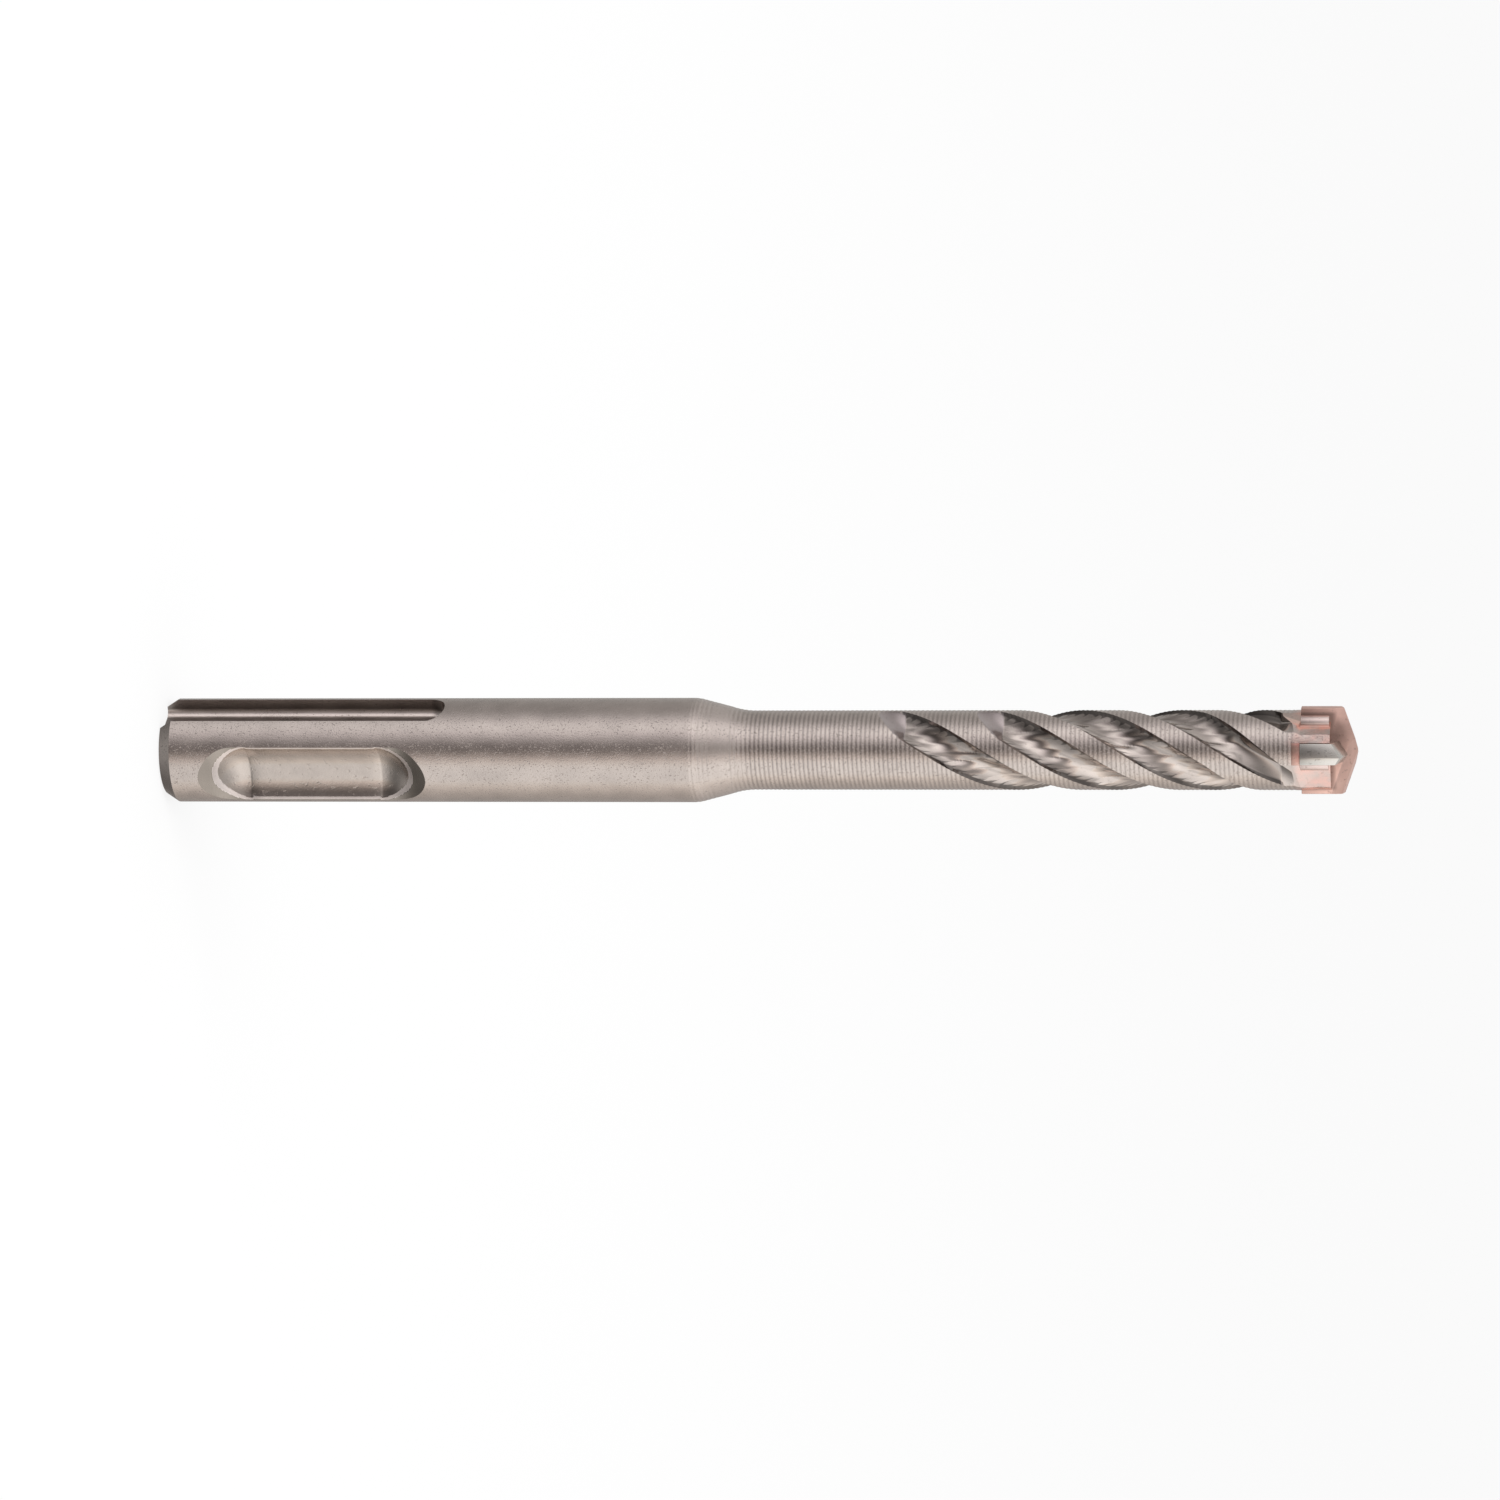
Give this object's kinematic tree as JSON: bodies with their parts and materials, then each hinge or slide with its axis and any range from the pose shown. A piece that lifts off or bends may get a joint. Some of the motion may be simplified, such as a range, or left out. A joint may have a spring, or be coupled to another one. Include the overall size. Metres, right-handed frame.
{
  "type": "hammer drill bit",
  "caption": "Masonry drill bit with a slotted hammer-drill shank, a short right-hand fluted neck and a crossed carbide head brazed into steel jaws.",
  "frame": {"origin": "centre of the flat rear striking face, where the bit's axis meets it", "axes": "+Z along the bit's axis towards the tip; the two drive grooves open towards +X and -X and the two locking recesses towards +Y and -Y"},
  "size_m": [0.01, 0.01, 0.115],
  "materials": {
    "tool_steel": "turned and blasted satin steel",
    "carbide": "fine ground satin carbide",
    "braze": "satin copper-coloured braze"
  },
  "bodies": {
    "root": {"steel_body": "tool_steel", "main_cutter": "carbide", "side_cutter_1": "carbide", "side_cutter_2": "carbide", "braze_seat": "braze", "braze_fillet_1": "braze", "braze_fillet_2": "braze", "braze_fillet_3": "braze", "braze_fillet_4": "braze"}
  },
  "joints": []
}
